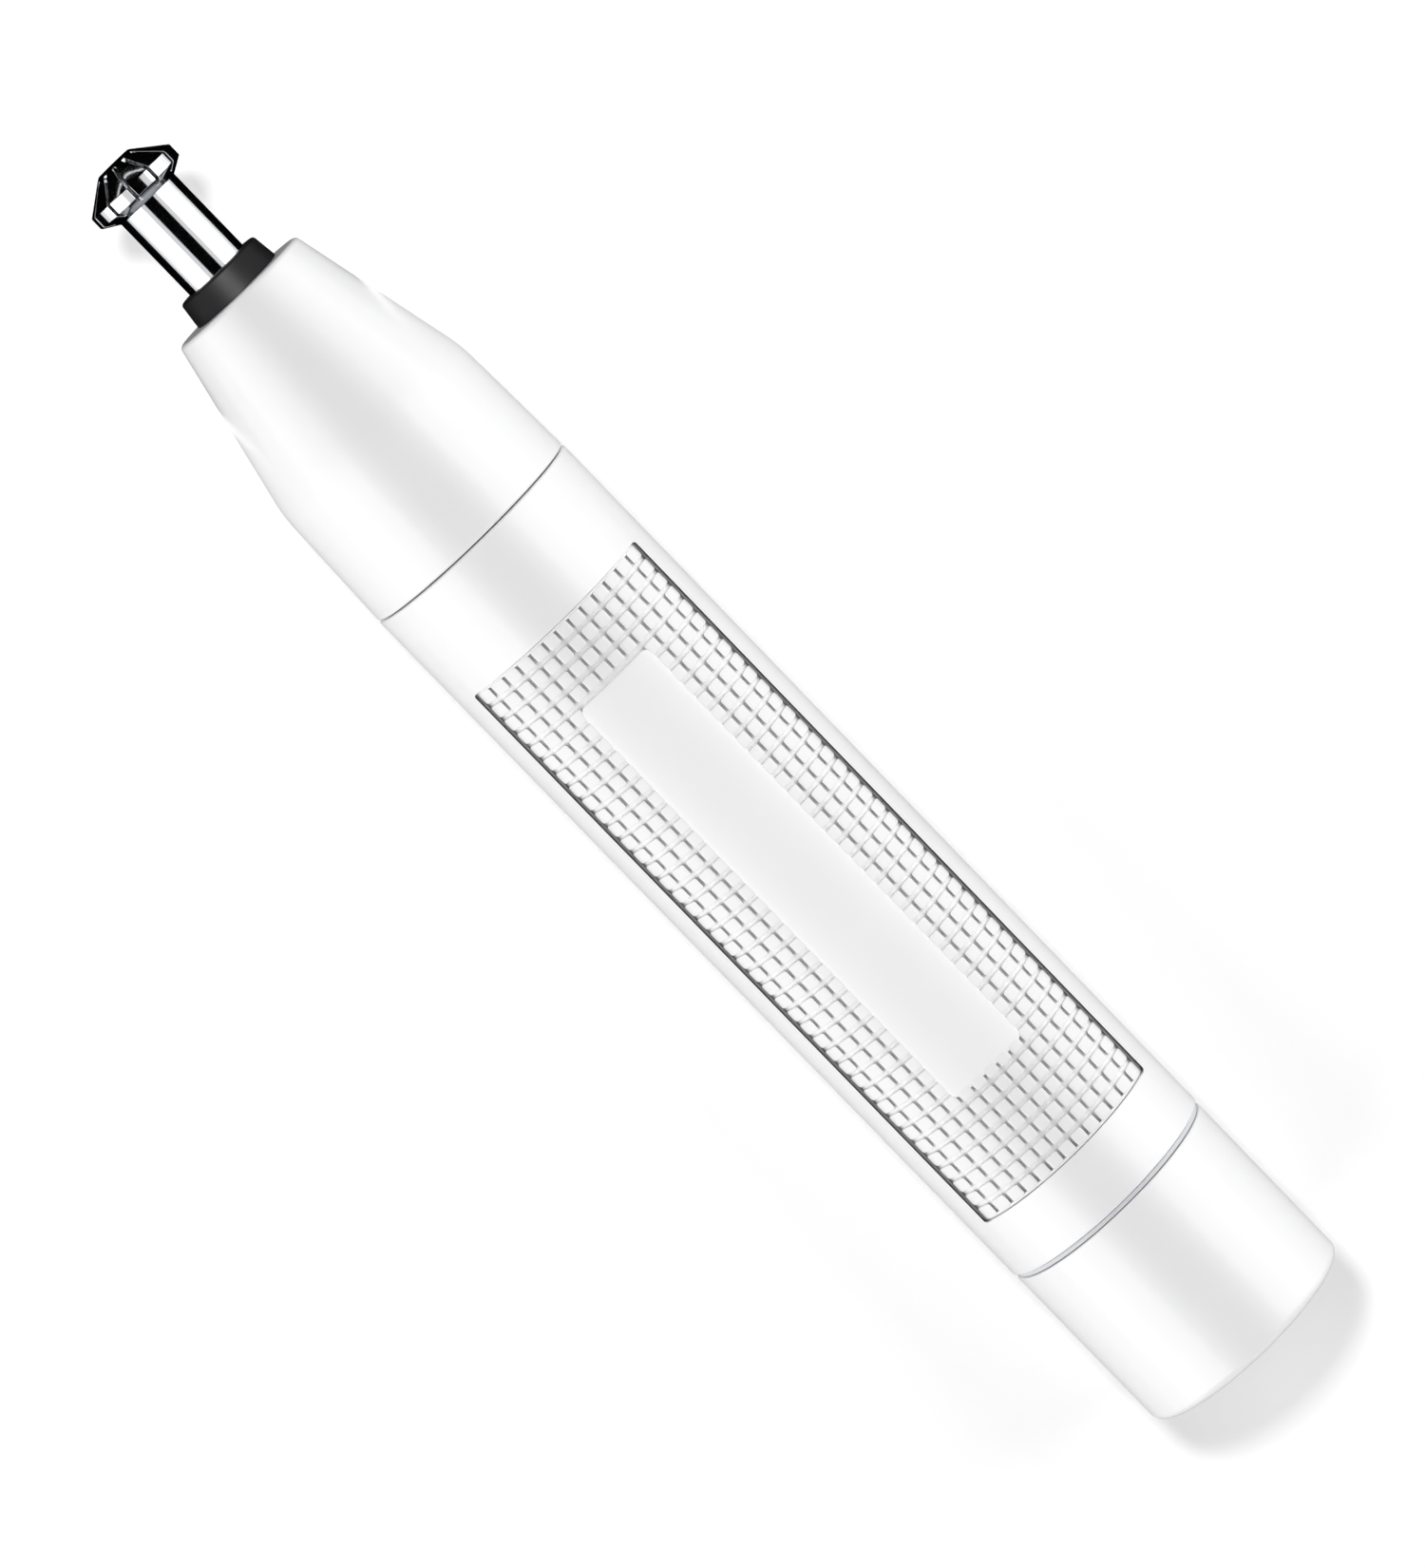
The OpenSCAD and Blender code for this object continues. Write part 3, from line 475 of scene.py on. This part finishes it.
# the crown is a turned steel shell with hair slots cut through its cone, rim and back
crownLow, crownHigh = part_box("crown")
crownLook = {
    "faceMm": 1.72, "coneMm": 2.06, "rimMm": 1.12, "bevelMm": 0.84, "wallMm": 0.42, "tubeMm": 3.0,
    "tubeGapMm": 0.02, "edgeMm": 0.03, "faceLoopMm": 0.5,  # the loop keeps the flat face flat to its edge
    "shoulderMm": 0.08, "shoulderFrontMm": 0.06, "shoulderBackMm": 0.05, "rimInsetMm": 0.04,
    "cavityInsetMm": 0.1, "backWallMm": 0.6, "cavityFrontShare": 0.97, "cavityBackShare": 0.1,
    "slots": 12, "slotMm": 0.34, "firstSlot": 6.6, "slotFromMm": 2.0, "slotBackMm": 0.36,
    "slotShare": 0.3, "stepsBetweenSlots": 6,  # near the axis a slot takes at most this share each side
    "lipMm": 0.1, "lipAngle": 50,
}


def between(a, b, share):  # the point that lies that share of the way from a to b
    return tuple(p + (q - p) * share for p, q in zip(a, b))


def crownProfile():
    # (distance from the tip, radius) points; the slot runs through the two middle lists, pair by pair
    look = crownLook
    rim = crownHigh.y / mm
    wall = look["wallMm"]
    rimFrom, rimTo = look["coneMm"], look["coneMm"] + look["rimMm"]
    back = rimTo + look["bevelMm"]
    face, seat, edge = look["faceMm"], look["tubeMm"] + look["tubeGapMm"], look["edgeMm"]
    coneFoot = (rimFrom - look["shoulderFrontMm"], rim - look["shoulderMm"])
    bevelHead = (rimTo + look["shoulderBackMm"], rim - look["shoulderMm"])
    inset, flat = look["cavityInsetMm"], look["rimInsetMm"]
    cavity = [(wall, face - inset), (rimFrom + inset, rim - wall), (rimTo - inset, rim - wall),
              (back - look["backWallMm"], seat)]
    frontShare = (look["slotFromMm"] - face) / (coneFoot[1] - face)
    backShare = (back - look["slotBackMm"] - bevelHead[0]) / (back - bevelHead[0])
    outer = [between((0, face), coneFoot, frontShare), coneFoot, (rimFrom + flat, rim),
             (rimTo - flat, rim), bevelHead, between(bevelHead, (back, seat + edge), backShare)]
    frontInner = (look["slotFromMm"] - cavity[0][1]) / (cavity[1][1] - cavity[0][1])
    inner = [between(cavity[0], cavity[1], frontInner),
             between(cavity[0], cavity[1], look["cavityFrontShare"]), cavity[1], cavity[2],
             between(cavity[2], cavity[3], look["cavityBackShare"]), between(cavity[2], cavity[3], backShare)]
    before = [(0, 0), (0, face - look["faceLoopMm"]), (0, face - 2 * edge), (edge, face)]
    turnBack = [(back - edge, seat + 2 * edge), (back, seat + edge), (back, seat), cavity[3]]
    return before, outer, turnBack, inner, [cavity[0], (wall, 0)]


def crownShape():
    look = crownLook
    before, outer, turnBack, inner, close = crownProfile()
    profile = before + outer + turnBack + inner[::-1] + close
    firstOuter, lastOuter = len(before), len(before) + len(outer) - 1
    firstInner = lastOuter + 1 + len(turnBack)
    partner = {firstOuter + k: firstInner + len(inner) - 1 - k for k in range(len(outer))}
    cutRows = set(range(firstOuter, lastOuter)) | set(range(firstInner, firstInner + len(inner) - 1))
    sector = 2 * math.pi / look["slots"]
    steps = look["stepsBetweenSlots"]
    around = look["slots"] * (steps + 1)
    halfSlot = look["slotMm"] / 2
    points, faces = [], []
    for s, r in profile:
        half = min(math.asin(halfSlot / max(r, halfSlot)), sector * look["slotShare"])
        for slot in range(look["slots"]):
            start = math.radians(-look["firstSlot"]) + slot * sector
            for k in range(steps + 1):
                turn = start + half + (sector - 2 * half) * k / steps
                points.append((crownLow.x + s * mm, r * mm * math.sin(turn),
                               axisHeight + r * mm * math.cos(turn)))

    def spot(row, k):
        return row * around + k % around

    for row in range(len(profile) - 1):
        below = row + 1
        for k in range(around):
            if not (row in cutRows and k % (steps + 1) == steps):
                faces.append((spot(row, k), spot(row, k + 1), spot(below, k + 1), spot(below, k)))
    for slot in range(look["slots"]):
        left, right = slot * (steps + 1) + steps, slot * (steps + 1) + steps + 1
        for row in range(firstOuter, lastOuter):
            for k in (left, right):
                faces.append((spot(row, k), spot(row + 1, k),
                              spot(partner[row + 1], k), spot(partner[row], k)))
        for row in (firstOuter, lastOuter):
            faces.append((spot(row, left), spot(row, right), spot(partner[row], right),
                          spot(partner[row], left)))
    return makePiece("slottedCrown", points, faces, "polishedStainless", smoothAngle=22)


crown = crownShape()
addBevel(crown, crownLook["lipMm"], segments=2, angle=crownLook["lipAngle"])
finishPiece(crown, "cutter_head", "polished_steel", "crown")
print("crown made:", len(crown.data.polygons), "faces")

# each spring is round wire wound along a spiral
springs = {
    "tailSpring": {"node": "battery_spring", "body": "tail", "wireMm": 0.38, "fromRadiusMm": 2.6,
                   "toRadiusMm": 4.6, "turns": 4.0},
    "spindleSpring": {"node": "spindle_spring", "body": "cutter", "wireMm": 0.2, "fromRadiusMm": 1.45,
                      "toRadiusMm": 1.45, "turns": 4.0},
}
springMesh = {"stepsPerTurn": 36, "wireSides": 12}


def springTree():
    tree = bpy.data.node_groups.new("woundSpring", "GeometryNodeTree")
    for name, kind in (("Geometry", "NodeSocketGeometry"), ("Turns", "NodeSocketFloat"),
                       ("From Radius", "NodeSocketFloat"), ("To Radius", "NodeSocketFloat"),
                       ("Length", "NodeSocketFloat"), ("Wire Radius", "NodeSocketFloat"),
                       ("Start", "NodeSocketVector"), ("Finish", "NodeSocketMaterial")):
        tree.interface.new_socket(name, in_out="INPUT", socket_type=kind)
    tree.interface.new_socket("Geometry", in_out="OUTPUT", socket_type="NodeSocketGeometry")
    given = addNode(tree, "NodeGroupInput").outputs
    path = addNode(tree, "GeometryNodeCurveSpiral", {
        "Resolution": springMesh["stepsPerTurn"], "Rotations": given["Turns"],
        "Start Radius": given["From Radius"], "End Radius": given["To Radius"], "Height": given["Length"]})
    wire = addNode(tree, "GeometryNodeCurvePrimitiveCircle",
                   {"Resolution": springMesh["wireSides"], "Radius": given["Wire Radius"]})
    tube = addNode(tree, "GeometryNodeCurveToMesh", {
        "Curve": path.outputs["Curve"], "Profile Curve": wire.outputs["Curve"], "Fill Caps": True})
    laid = addNode(tree, "GeometryNodeTransform", {"Geometry": tube.outputs["Mesh"],
                                                   "Translation": given["Start"],
                                                   "Rotation": (0, math.pi / 2, 0)})
    real = addNode(tree, "GeometryNodeRealizeInstances", {"Geometry": laid.outputs["Geometry"]})
    painted = addNode(tree, "GeometryNodeSetMaterial", {"Geometry": real.outputs["Geometry"],
                                                        "Material": given["Finish"]})
    addNode(tree, "NodeGroupOutput", {"Geometry": painted.outputs["Geometry"]})
    return tree


woundSpring = springTree()
for name, look in springs.items():
    low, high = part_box(look["node"])
    spring = makePiece(name, [], [], "springSteel")
    winding = spring.modifiers.new("woundSpring", "NODES")
    winding.node_group = woundSpring
    sockets = {item.name: item.identifier for item in woundSpring.interface.items_tree
               if item.in_out == "INPUT"}
    wire = look["wireMm"] * mm
    values = {"Turns": look["turns"], "From Radius": look["fromRadiusMm"] * mm,
              "To Radius": look["toRadiusMm"] * mm, "Length": high.x - low.x - 2 * wire, "Wire Radius": wire,
              "Start": (low.x + wire, 0, axisHeight), "Finish": finishes["springSteel"]}
    for key, value in values.items():
        winding[sockets[key]] = value
    bpy.context.view_layer.update()
    made = bpy.data.meshes.new_from_object(spring.evaluated_get(bpy.context.evaluated_depsgraph_get()))
    spring.modifiers.remove(winding)
    spring.data = made
    made.shade_smooth()
    finishPiece(spring, look["body"], "tool_steel", look["node"])
print("springs wound:", len(springs))

# finishes of the pieces that keep their CAD shape
cadFinishes = {
    "glossWhiteAbs": ("nose_cone", "barrel", "tail_cap"),
    "greyRingAcetal": ("switch_ring", "release_ring"),
    "satinBlackNylon": ("head_base",),
    "nitrileRubber": ("head_seal", "tail_seal"),
    "polishedStainless": ("cutter_tube",),
    "groundToolSteel": ("inner_blade", "spindle", "motor_shaft"),
    "springSteel": ("spindle_clip",),
    "sinteredBronze": ("front_bush", "rear_bush", "motor_front_bush", "motor_rear_bush"),
    "naturalNylon": ("driven_dog", "drive_dog", "motor_end_cap"),
    "nickelPlatedSteel": ("motor_can", "battery_nub", "battery_base"),
    "sinteredFerrite": ("motor_magnets",),
    "laminatedSteel": ("armature",),
    "enamelledCopper": ("armature_coils",),
    "commutatorCopper": ("commutator",),
    "pressedBrass": ("motor_brushes", "motor_terminals", "contact_strip", "positive_contact",
                     "switch_contact", "cap_contact", "spring_plate"),
    "greyChassisAbs": ("motor_cradle", "battery_tube"),
    "redPvc": ("red_lead",),
    "blackPvc": ("black_lead",),
    "shrunkBatteryFilm": ("battery_cell",),
}
for finish, names in cadFinishes.items():
    for name in names:
        for materialSlot in nodes[name].material_slots:
            materialSlot.material = finishes[finish]
print("finishes put on", sum(len(names) for names in cadFinishes.values()), "pieces")

# the set is a white sweep, dark cards for the steel to reflect, two soft side lamps and two small ones
studio = {
    "floorColour": "#e0e0e0", "floorGlow": 0.08, "floorSize": 6.0,
    "glowFrom": 0.1, "glowTo": 0.4,  # from here the floor brightens to match the backdrop, clear of shadows
    "skyFill": 0.47,
    "sideLamp": {"power": 2.6, "length": 0.6, "width": 0.6, "offset": 0.52, "height": 0.31, "along": 0.01},
    "shadowLamp": {"power": 4.4, "size": 0.12, "distance": 0.9, "lean": 24},
    "collarLamp": {"power": 14.0, "size": 0.12, "distance": 0.9, "lean": 7},
}


def plane(name, centre, sizeX, sizeY, turn=(0, 0, 0)):
    mesh = bpy.data.meshes.new(name)
    x, y = sizeX / 2, sizeY / 2
    mesh.from_pydata([(-x, -y, 0), (x, -y, 0), (x, y, 0), (-x, y, 0)], [], [(0, 1, 2, 3)])
    card = bpy.data.objects.new(name, mesh)
    card.location = centre
    card.rotation_euler = [math.radians(t) for t in turn]
    scene.collection.objects.link(card)
    return card


def rayIsSeen(tree):  # 1 for what the camera, a reflection or a clear piece sees, 0 for light that it gives
    rays = addNode(tree, "ShaderNodeLightPath").outputs
    seen = addNode(tree, "ShaderNodeMath", {0: rays["Is Camera Ray"], 1: rays["Is Glossy Ray"]},
                   operation="MAXIMUM").outputs[0]
    return addNode(tree, "ShaderNodeMath", {0: seen, 1: rays["Is Transmission Ray"]},
                   operation="MAXIMUM").outputs[0]


def floorMaterial():
    # matt paper sweep, with a little light of its own that grows away from the trimmer
    material, tree = blankMaterial("paperFloor")
    paper = addNode(tree, "ShaderNodeBsdfDiffuse", {"Color": hexColour(studio["floorColour"])})
    place = addNode(tree, "ShaderNodeTexCoord").outputs["Object"]
    away = addNode(tree, "ShaderNodeVectorMath", {0: place}, operation="LENGTH").outputs["Value"]
    level = addNode(tree, "ShaderNodeMapRange", {
        "Value": away, "From Min": studio["glowFrom"], "From Max": studio["glowTo"],
        "To Min": studio["floorGlow"], "To Max": 1.0}, interpolation_type="SMOOTHSTEP").outputs["Result"]
    strength = addNode(tree, "ShaderNodeMath", {0: rayIsSeen(tree), 1: level}, operation="MULTIPLY")
    glow = addNode(tree, "ShaderNodeEmission", {"Strength": strength.outputs[0]})
    both = addNode(tree, "ShaderNodeAddShader", {0: paper.outputs[0], 1: glow.outputs[0]})
    addNode(tree, "ShaderNodeOutputMaterial", {"Surface": both.outputs[0]})
    return material


def cardMaterial(name, colour):
    material, tree = blankMaterial(name)
    card = addNode(tree, "ShaderNodeBsdfDiffuse", {"Color": hexColour(colour)})
    addNode(tree, "ShaderNodeOutputMaterial", {"Surface": card.outputs[0]})
    return material


floor = plane("paperFloor", (0, 0, 0), studio["floorSize"], studio["floorSize"])
floor.data.materials.append(floorMaterial())

cardPaper = {"black": cardMaterial("blackCard", "#060606"), "grey": cardMaterial("greyCard", "#a2a2a2")}
cards = {  # paper, centre, length, width and turn, in metres and degrees; only reflections show them
    "ceilingCard": ("black", (0, 0, 1.3), 2.4, 0.9, (0, 0, 0)),
    "underCard": ("black", (-0.1085, 0, 0.0003), 0.123, 0.09, (0, 0, 0)),
    "greyCard": ("grey", (0.045, 0, 0.0003), 0.18, 0.09, (0, 0, 0)),
    "frontCard": ("black", (-0.2, 0, 0.04), 0.08, 0.3, (0, 90, 0)),
}
for name, (paper, centre, sizeX, sizeY, turn) in cards.items():
    card = plane(name, centre, sizeX, sizeY, turn)
    card.data.materials.append(cardPaper[paper])
    card.visible_camera = False
    card.visible_shadow = False
    card.visible_diffuse = name == "ceilingCard"  # which also shades the upward faces a little


def backdrop():
    sky = bpy.data.worlds.new("whiteSweep")
    scene.world = sky
    sky.use_nodes = True
    tree = sky.node_tree
    tree.nodes.clear()
    fill = addNode(tree, "ShaderNodeBackground", {"Color": (1, 1, 1, 1), "Strength": studio["skyFill"]})
    white = addNode(tree, "ShaderNodeBackground", {"Color": (1, 1, 1, 1), "Strength": 1.0})
    both = addNode(tree, "ShaderNodeMixShader", {0: rayIsSeen(tree), 1: fill.outputs[0], 2: white.outputs[0]})
    addNode(tree, "ShaderNodeOutputWorld", {"Surface": both.outputs[0]})


backdrop()


def facing(right, up, back, place):  # a lamp and a camera look along minus back
    return Matrix([(right[i], up[i], back[i], place[i]) for i in range(3)] + [(0, 0, 0, 1)])


def softLamp(name, place, length, width, power):  # its long side runs along the trimmer as far as it can
    data = bpy.data.lights.new(name, "AREA")
    data.shape = "RECTANGLE"
    data.size = length
    data.size_y = width
    data.energy = power
    lamp = bpy.data.objects.new(name, data)
    back = (Vector(place) - Vector((0, 0, axisHeight))).normalized()
    across = back.cross(Vector((1, 0, 0))).normalized()
    along = across.cross(back)
    lamp.matrix_world = facing(along, across, back, place)
    scene.collection.objects.link(lamp)
    return lamp


side = studio["sideLamp"]
flagged = bpy.data.collections.new("sideLampFlag")  # the side lamps leave out the black collar
flagged.objects.link(nodes["head_base"])
for linked in flagged.collection_objects:
    linked.light_linking.link_state = "EXCLUDE"
for name, sign in (("lampLeft", -1), ("lampRight", 1)):
    lamp = softLamp(name, (side["along"], sign * side["offset"], side["height"]), side["length"],
                    side["width"], side["power"])
    lamp.light_linking.receiver_collection = flagged
for name, piece in (("shadowLamp", floor), ("collarLamp", nodes["head_base"])):
    look = studio[name]
    lean = math.radians(look["lean"])
    lamp = softLamp(name, (-math.sin(lean) * look["distance"], 0, math.cos(lean) * look["distance"]),
                    look["size"], look["size"], look["power"])
    lamp.light_linking.receiver_collection = bpy.data.collections.new(name)  # it lights this one piece
    lamp.light_linking.receiver_collection.objects.link(piece)
print("set and lamps made")

# the camera is almost overhead, tipped a little towards the crown, with the trimmer across the frame
cameraLook = {"lensMm": 201.4, "aimX": 0.00318, "aimY": -0.0001, "distance": 0.725, "tip": 7.4, "roll": 45.9}


def makeCamera():
    data = bpy.data.cameras.new("camera")
    data.lens = cameraLook["lensMm"]
    data.clip_start = 0.01
    data.clip_end = 20
    camera = bpy.data.objects.new("camera", data)
    scene.collection.objects.link(camera)
    tip, roll = math.radians(cameraLook["tip"]), math.radians(cameraLook["roll"])
    back = Vector((-math.sin(tip), 0, math.cos(tip)))
    alongBody = (Vector((1, 0, 0)) - back * back.x).normalized()
    acrossBody = back.cross(alongBody)
    right = math.cos(roll) * alongBody + math.sin(roll) * acrossBody
    up = -math.sin(roll) * alongBody + math.cos(roll) * acrossBody
    place = Vector((cameraLook["aimX"], cameraLook["aimY"], axisHeight)) + back * cameraLook["distance"]
    camera.matrix_world = facing(right, up, back, place)
    scene.camera = camera


makeCamera()
scene.view_settings.view_transform = "Standard"
print("camera made")
